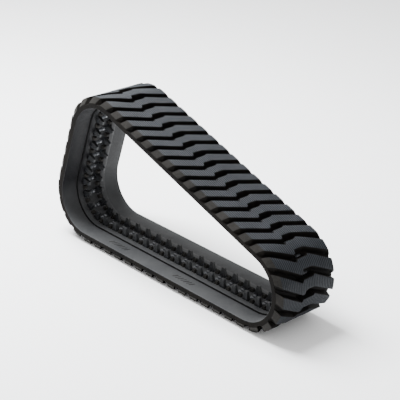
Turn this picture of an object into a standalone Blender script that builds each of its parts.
"""Endless rubber track for a compact track loader, in metres, +Z up, +X towards the front idler.

The belt is laid out round its pitch line: three straight runs and three wheel bends, 48 steel cores
one pitch apart. It is split at the six places where the belt changes from straight to curved.
A point of the belt is given as (s, y, out): distance along the pitch line, distance across, and
distance outwards from the inner flange surface.
"""

import math

import bmesh
import bpy
from mathutils import Matrix, Vector

PITCH = 0.086
PITCH_LINE_DEPTH = 0.014
HALF_WIDTH = 0.206

RUN_NAMES = ("bottom_run", "front_bend", "top_run", "sprocket_bend", "rear_run", "rear_bend")
RUN_PITCHES = (14.5, 6.5, 14.0, 4.0, 4.5, 4.5)
FRONT_ANGLE = math.radians(160.884)
SPROCKET_ANGLE = math.radians(93.451)
REAR_ANGLE = 2.0 * math.pi - FRONT_ANGLE - SPROCKET_ANGLE
RUN_ANGLES = (0.0, FRONT_ANGLE, 0.0, SPROCKET_ANGLE, 0.0, REAR_ANGLE)
CORE_COUNT = 48
FIRST_CORE_OF_RUN = (0, 15, 21, 35, 39, 44, 48)

CARCASS_EDGE = 0.025
GROOVE_FLOOR = 0.026
CENTRE_FLOOR = 0.023
LUG_EDGE = 0.031
LUG_TOP = 0.062
LUG_SHOULDER = 0.185
GROOVE_DRAFT = 0.0065
TREAD_PHASE = 0.2
EDGE_STEP = 0.0006
ROWS_PER_PITCH = 5
START_SPARE = 0.135
END_SPARE = 0.049

FLANGE_LIMIT = 0.100
ROLLER_RISE = 0.008
ROLLER_OUTER = 0.0975
ROLLER_INNER = 0.064
CHANNEL_LIMIT = 0.0615

WING_TIP = 0.150
WING_HALF_LENGTH = 0.017
WING_TIP_HALF_LENGTH = 0.014
WING_TOP = 0.004
WING_BOTTOM = 0.0115
HORN_OUTER = 0.058
HORN_PEAK_OUTER = 0.051
HORN_PEAK_INNER = 0.040
HORN_INNER = 0.030
HORN_HEIGHT = 0.050
HORN_FOOT = 0.004
WING_ROOT = 0.003
HORN_BASE_HALF_LENGTH = 0.017
HORN_PEAK_HALF_LENGTH = 0.009
BAR_RISE = 0.006
BAR_BOTTOM = 0.0128
BAR_HALF_LENGTH = 0.013
CORE_CLEARANCE = 0.0004

CORD_HALF_WIDTH = 0.192
CORD_TOP = 0.0150
CORD_BOTTOM = 0.0186
PLY_TOP = 0.0166
PLY_HALF_WIDTH = 0.030
PLY_EDGE = 0.002
CORD_CLEARANCE = 0.00035

JOINT_GAP = 0.0012
OPEN_JOINT_GAP = 0.0018
OPEN_JOINT = 4
CUTTER_LENGTH = 0.270
CUTTER_REACH = 0.180

# Groove edges at the lug top: (y, leading edge, trailing edge), edges in pitches from the groove centre.
GROOVE_EDGES = (
    (-0.206, 0.490, 0.870),
    (-0.185, 0.250, 0.630),
    (-0.044, -0.475, -0.093),
    (-0.032, -0.332, -0.097),
    (-0.019, -0.330, 0.128),
    (0.036, -0.319, 0.118),
    (0.045, -0.237, 0.103),
    (0.185, -0.901, -0.515),
    (0.206, -1.138, -0.758),
)


def clear_scene():
    for obj in list(bpy.data.objects):
        bpy.data.objects.remove(obj, do_unlink=True)


def rubber_material(name, grey, roughness):
    material = bpy.data.materials.new(name)
    material.use_nodes = True
    shader = material.node_tree.nodes["Principled BSDF"]
    shader.inputs["Base Color"].default_value = (grey, grey, grey * 1.05, 1.0)
    shader.inputs["Roughness"].default_value = roughness
    return material


def steel_material(name):
    material = bpy.data.materials.new(name)
    material.use_nodes = True
    shader = material.node_tree.nodes["Principled BSDF"]
    shader.inputs["Base Color"].default_value = (0.09, 0.09, 0.10, 1.0)
    shader.inputs["Metallic"].default_value = 0.8
    shader.inputs["Roughness"].default_value = 0.55
    return material


def lay_out_path():
    """Start distance, start point, start heading, length and turning angle of each run."""
    runs = []
    s = 0.0
    x = 0.0
    z = 0.0
    heading = 0.0
    for pitches, angle in zip(RUN_PITCHES, RUN_ANGLES):
        length = pitches * PITCH
        runs.append((s, x, z, heading, length, angle))
        if angle == 0.0:
            x += length * math.cos(heading)
            z += length * math.sin(heading)
        else:
            radius = length / angle
            x += radius * (math.sin(heading + angle) - math.sin(heading))
            z += radius * (math.cos(heading) - math.cos(heading + angle))
        heading += angle
        s += length
    return runs


RUNS = lay_out_path()
LOOP_LENGTH = CORE_COUNT * PITCH


def path_frame(s):
    """Point of the pitch line and heading at distance s."""
    wrapped = s % LOOP_LENGTH
    chosen = RUNS[0]
    for run in RUNS:
        if wrapped >= run[0]:
            chosen = run
    start, x, z, heading, length, angle = chosen
    along = wrapped - start
    if angle == 0.0:
        return x + along * math.cos(heading), z + along * math.sin(heading), heading
    radius = length / angle
    turned = along / radius
    x += radius * (math.sin(heading + turned) - math.sin(heading))
    z += radius * (math.cos(heading) - math.cos(heading + turned))
    return x, z, heading + turned


def loop_extent():
    """Offset that puts the origin under the middle of the loop, on the ground face of the lugs."""
    rear = RUNS[5]
    front = RUNS[1]
    rear_radius = rear[4] / rear[5]
    front_radius = front[4] / front[5]
    reach = LUG_TOP - PITCH_LINE_DEPTH
    low_x = -(rear_radius + reach)
    high_x = front[1] + front_radius + reach
    return -(low_x + high_x) / 2.0, reach


SHIFT_X, SHIFT_Z = loop_extent()


def belt_point(s, y, out):
    x, z, heading = path_frame(s)
    depth = out - PITCH_LINE_DEPTH
    return Vector((x + depth * math.sin(heading) + SHIFT_X, y, z - depth * math.cos(heading) + SHIFT_Z))


def local_point(s, along, y, out):
    """Point given on the tangent and normal at s, for rigid pieces."""
    x, z, heading = path_frame(s)
    depth = out - PITCH_LINE_DEPTH
    px = x + along * math.cos(heading) + depth * math.sin(heading)
    pz = z + along * math.sin(heading) - depth * math.cos(heading)
    return Vector((px + SHIFT_X, y, pz + SHIFT_Z))


def new_object(name, points, faces, material):
    mesh = bpy.data.meshes.new(name)
    mesh.from_pydata([tuple(point) for point in points], [], faces)
    work = bmesh.new()
    work.from_mesh(mesh)
    bmesh.ops.triangulate(work, faces=work.faces[:])
    bmesh.ops.recalc_face_normals(work, faces=work.faces[:])
    if work.calc_volume(signed=True) < 0.0:
        bmesh.ops.reverse_faces(work, faces=work.faces[:])
    work.to_mesh(mesh)
    work.free()
    obj = bpy.data.objects.new(name, mesh)
    bpy.context.scene.collection.objects.link(obj)
    if material is not None:
        mesh.materials.append(material)
    return obj


def hide_cutter(obj):
    obj.hide_render = True
    obj.display_type = "WIRE"


def cut(target, cutter, label):
    modifier = target.modifiers.new(label, "BOOLEAN")
    modifier.operation = "DIFFERENCE"
    modifier.solver = "EXACT"
    modifier.object = cutter


def core_sections(clearance):
    """(y, half length at the bottom, half length at the top, bottom, top) of a core, across the belt."""
    c = clearance
    half = (
        (WING_TIP + c, WING_TIP_HALF_LENGTH + c, WING_TIP_HALF_LENGTH + c, WING_BOTTOM + c, WING_TOP - c),
        (HORN_OUTER + c + WING_ROOT, WING_HALF_LENGTH + c, WING_HALF_LENGTH + c, WING_BOTTOM + c, WING_TOP - c),
        (HORN_OUTER + c, HORN_BASE_HALF_LENGTH + c, HORN_BASE_HALF_LENGTH + c, BAR_BOTTOM + c, -HORN_FOOT - c),
        (HORN_PEAK_OUTER + c, HORN_BASE_HALF_LENGTH + c, HORN_PEAK_HALF_LENGTH + c, BAR_BOTTOM + c, -HORN_HEIGHT),
        (HORN_PEAK_INNER - c, HORN_BASE_HALF_LENGTH + c, HORN_PEAK_HALF_LENGTH + c, BAR_BOTTOM + c, -HORN_HEIGHT),
        (HORN_INNER - c, BAR_HALF_LENGTH + c, BAR_HALF_LENGTH + c, BAR_BOTTOM + c, -BAR_RISE - c),
    )
    mirrored = tuple((-y, a, b, low, high) for y, a, b, low, high in half)
    return mirrored + half[::-1]


def core_shell(s, clearance, first_index):
    points = []
    faces = []
    sections = core_sections(clearance)
    for y, half_low, half_high, low, high in sections:
        points.append(local_point(s, -half_low, y, low))
        points.append(local_point(s, half_low, y, low))
        points.append(local_point(s, half_high, y, high))
        points.append(local_point(s, -half_high, y, high))
    count = len(sections)
    for row in range(count - 1):
        a = first_index + row * 4
        for side in range(4):
            after = (side + 1) % 4
            faces.append((a + side, a + after, a + 4 + after, a + 4 + side))
    last = first_index + (count - 1) * 4
    faces.append((first_index, first_index + 1, first_index + 2, first_index + 3))
    faces.append((last + 3, last + 2, last + 1, last))
    return points, faces


def add_core(index, material):
    points, faces = core_shell(index * PITCH, 0.0, 0)
    name = "steel_core_%02d" % (index + 1)
    centre = local_point(index * PITCH, 0.0, 0.0, PITCH_LINE_DEPTH)
    obj = new_object(name, [point - centre for point in points], faces, material)
    obj.location = centre
    return obj


def run_is_bend(run):
    return RUN_ANGLES[run] != 0.0


def joint_distance(run):
    """Distance of the pivot at the start of a run: the middle of the half pitch that changes shape."""
    return RUNS[run][0] - PITCH / 4.0


def run_limits(run):
    after = (run + 1) % len(RUNS)
    start = joint_distance(run)
    end = joint_distance(after)
    if end < start:
        end += LOOP_LENGTH
    return start, end


def joint_swing(run):
    """Rotation of the joint at the start of a run over half a pitch of travel."""
    bend = run if run_is_bend(run) else (run - 1) % len(RUNS)
    radius = RUNS[bend][4] / RUN_ANGLES[bend]
    return PITCH / 2.0 / radius


def joint_face(run):
    """Half of the wedge gap at the start of a run: (half gap, out) from the inner side to the outer."""
    gap = OPEN_JOINT_GAP if run == OPEN_JOINT else JOINT_GAP
    half = gap / 2.0
    slope = math.tan(joint_swing(run) / 2.0)
    inner = (half, PITCH_LINE_DEPTH - CUTTER_REACH)
    middle = (half, PITCH_LINE_DEPTH)
    outer = (half, PITCH_LINE_DEPTH + CUTTER_REACH)
    if run_is_bend(run):
        inner = (half + slope * CUTTER_REACH, inner[1])
    else:
        outer = (half + slope * CUTTER_REACH, outer[1])
    return inner, middle, outer


def add_end_cutter(name, run, direction):
    """Block that removes everything past the joint at the start of a run, on the side of direction."""
    s = joint_distance(run)
    y = HALF_WIDTH + 0.05
    outline = [(-direction * gap, out) for gap, out in joint_face(run)]
    outline.append((direction * CUTTER_LENGTH, PITCH_LINE_DEPTH + CUTTER_REACH))
    outline.append((direction * CUTTER_LENGTH, PITCH_LINE_DEPTH - CUTTER_REACH))
    points = [local_point(s, along, -y, out) for along, out in outline]
    points += [local_point(s, along, y, out) for along, out in outline]
    count = len(outline)
    faces = [tuple(range(count)), tuple(range(2 * count - 1, count - 1, -1))]
    for side in range(count):
        after = (side + 1) % count
        faces.append((side, after, count + after, count + side))
    obj = new_object(name, points, faces, None)
    hide_cutter(obj)
    return obj


def inner_profile():
    """(y, out) of the inner surface from the near edge to the far edge."""
    half = (
        (HALF_WIDTH, 0.0),
        (LUG_SHOULDER, 0.0),
        (FLANGE_LIMIT, 0.0),
        (ROLLER_OUTER, -ROLLER_RISE),
        (ROLLER_INNER, -ROLLER_RISE),
        (CHANNEL_LIMIT, 0.0),
    )
    return tuple((-y, out) for y, out in half) + half[::-1]


def tread_rows(start, end):
    """Rows of the tread past both distances, from mid-lug to mid-lug: s and out for every column of GROOVE_EDGES."""
    rows = []
    first = math.floor((start - START_SPARE) / PITCH)
    last = math.ceil((end + END_SPARE) / PITCH)
    for groove in range(first, last + 1):
        centre = (groove + TREAD_PHASE) * PITCH
        lead = []
        lead_floor = []
        trail_floor = []
        trail = []
        middle = []
        for y, before, after in GROOVE_EDGES:
            edge = abs(y) > LUG_SHOULDER + EDGE_STEP
            top = LUG_EDGE if edge else LUG_TOP
            floor = CARCASS_EDGE if edge else GROOVE_FLOOR
            draft = GROOVE_DRAFT / 3.0 if edge else GROOVE_DRAFT
            if abs(y) < CHANNEL_LIMIT:
                floor = CENTRE_FLOOR
            lead.append((centre + before * PITCH, top))
            lead_floor.append((centre + before * PITCH + draft, floor))
            trail_floor.append((centre + after * PITCH - draft, floor))
            trail.append((centre + after * PITCH, top))
            middle.append((centre + (after + before + 1.0) / 2.0 * PITCH, top))
        rows += [lead, lead_floor, trail_floor, trail, middle]
    return rows[ROWS_PER_PITCH - 1 :]


def interpolate(row, y):
    columns = [edge[0] for edge in GROOVE_EDGES]
    for index in range(len(columns) - 1):
        if y <= columns[index + 1]:
            break
    share = (y - columns[index]) / (columns[index + 1] - columns[index])
    return row[index][0] + share * (row[index + 1][0] - row[index][0])


def zip_strip(lower, lower_y, upper, upper_y):
    """Triangles between two point rows that run across the belt."""
    faces = []
    i = 0
    j = 0
    while i < len(lower) - 1 or j < len(upper) - 1:
        step_lower = j == len(upper) - 1 or (i < len(lower) - 1 and lower_y[i + 1] <= upper_y[j + 1])
        if step_lower:
            faces.append((lower[i], lower[i + 1], upper[j]))
            i += 1
        else:
            faces.append((lower[i], upper[j + 1], upper[j]))
            j += 1
    return faces


def carcass_mesh(run):
    start, end = run_limits(run)
    rows = tread_rows(start, end)
    columns = [edge[0] for edge in GROOVE_EDGES]
    profile = inner_profile()
    ring = len(columns) + len(profile)
    points = []
    for row in rows:
        points += [belt_point(s, y, out) for (s, out), y in zip(row, columns)]
        points += [belt_point(interpolate(row, y), y, out) for y, out in reversed(profile)]
    faces = []
    for index in range(len(rows) - 1):
        a = index * ring
        for side in range(ring):
            after = (side + 1) % ring
            faces.append((a + side, a + after, a + ring + after, a + ring + side))
    inner_y = [y for y, out in profile]
    for index, flip in ((0, False), (len(rows) - 1, True)):
        base = index * ring
        outer_ids = list(range(base, base + len(columns)))
        inner_ids = list(range(base + ring - 1, base + len(columns) - 1, -1))
        cap = zip_strip(outer_ids, columns, inner_ids, inner_y)
        cap = [face for face in cap if len(set(face)) == 3]
        faces += [face[::-1] for face in cap] if flip else cap
    return points, faces


def cord_profile(clearance):
    c = clearance
    return (
        (-CORD_HALF_WIDTH - c, CORD_BOTTOM + c),
        (CORD_HALF_WIDTH + c, CORD_BOTTOM + c),
        (CORD_HALF_WIDTH + c, CORD_TOP - c),
        (PLY_HALF_WIDTH, CORD_TOP - c),
        (PLY_HALF_WIDTH - PLY_EDGE, PLY_TOP - c),
        (-PLY_HALF_WIDTH + PLY_EDGE, PLY_TOP - c),
        (-PLY_HALF_WIDTH, CORD_TOP - c),
        (-CORD_HALF_WIDTH - c, CORD_TOP - c),
    )


def cord_mesh(run, clearance):
    start, end = run_limits(run)
    start -= PITCH
    end += PITCH
    stations = [start]
    step = PITCH / 2.0
    count = int(round((end - start) / step))
    for index in range(1, count):
        s = start + (end - start) * index / count
        inside = RUNS[run][0] <= s <= RUNS[run][0] + RUNS[run][4]
        curved = run_is_bend(run) if inside else not run_is_bend(run)
        if curved or abs(s - RUNS[run][0]) < PITCH or abs(s - RUNS[run][0] - RUNS[run][4]) < PITCH:
            stations.append(s)
    stations.append(end)
    profile = cord_profile(clearance)
    points = [belt_point(s, y, out) for s in stations for y, out in profile]
    ring = len(profile)
    faces = []
    for index in range(len(stations) - 1):
        a = index * ring
        for side in range(ring):
            nxt = (side + 1) % ring
            faces.append((a + side, a + nxt, a + ring + nxt, a + ring + side))
    last = (len(stations) - 1) * ring
    faces.append(tuple(range(ring)))
    faces.append(tuple(range(last + ring - 1, last - 1, -1)))
    return points, faces


def add_pocket_cutter(run):
    points = []
    faces = []
    for index in range(FIRST_CORE_OF_RUN[run], FIRST_CORE_OF_RUN[run + 1]):
        shell_points, shell_faces = core_shell(index * PITCH, CORE_CLEARANCE, len(points))
        points += shell_points
        faces += shell_faces
    obj = new_object("pocket_cutter_" + RUN_NAMES[run], points, faces, None)
    hide_cutter(obj)
    return obj


def add_run(run, rubber, cord_material):
    name = RUN_NAMES[run]
    after = (run + 1) % len(RUNS)
    start_cutter = add_end_cutter("start_cutter_" + name, run, -1.0)
    end_cutter = add_end_cutter("end_cutter_" + name, after, 1.0)
    slot_points, slot_faces = cord_mesh(run, CORD_CLEARANCE)
    slot = new_object("slot_cutter_" + name, slot_points, slot_faces, None)
    hide_cutter(slot)
    pockets = add_pocket_cutter(run)
    points, faces = carcass_mesh(run)
    carcass = new_object("rubber_carcass_" + name, points, faces, rubber)
    cut(carcass, pockets, "core pockets")
    cut(carcass, slot, "cord slot")
    cut(carcass, start_cutter, "start joint")
    cut(carcass, end_cutter, "end joint")
    cord_points, cord_faces = cord_mesh(run, 0.0)
    cords = new_object("steel_cord_ply_" + name, cord_points, cord_faces, cord_material)
    cut(cords, start_cutter, "start joint")
    cut(cords, end_cutter, "end joint")


def main():
    clear_scene()
    rubber = rubber_material("carcass_rubber", 0.045, 0.75)
    cord_material = rubber_material("cord_ply", 0.12, 0.5)
    core_steel = steel_material("core_steel")
    for run in range(len(RUNS)):
        add_run(run, rubber, cord_material)
    for index in range(CORE_COUNT):
        add_core(index, core_steel)


main()
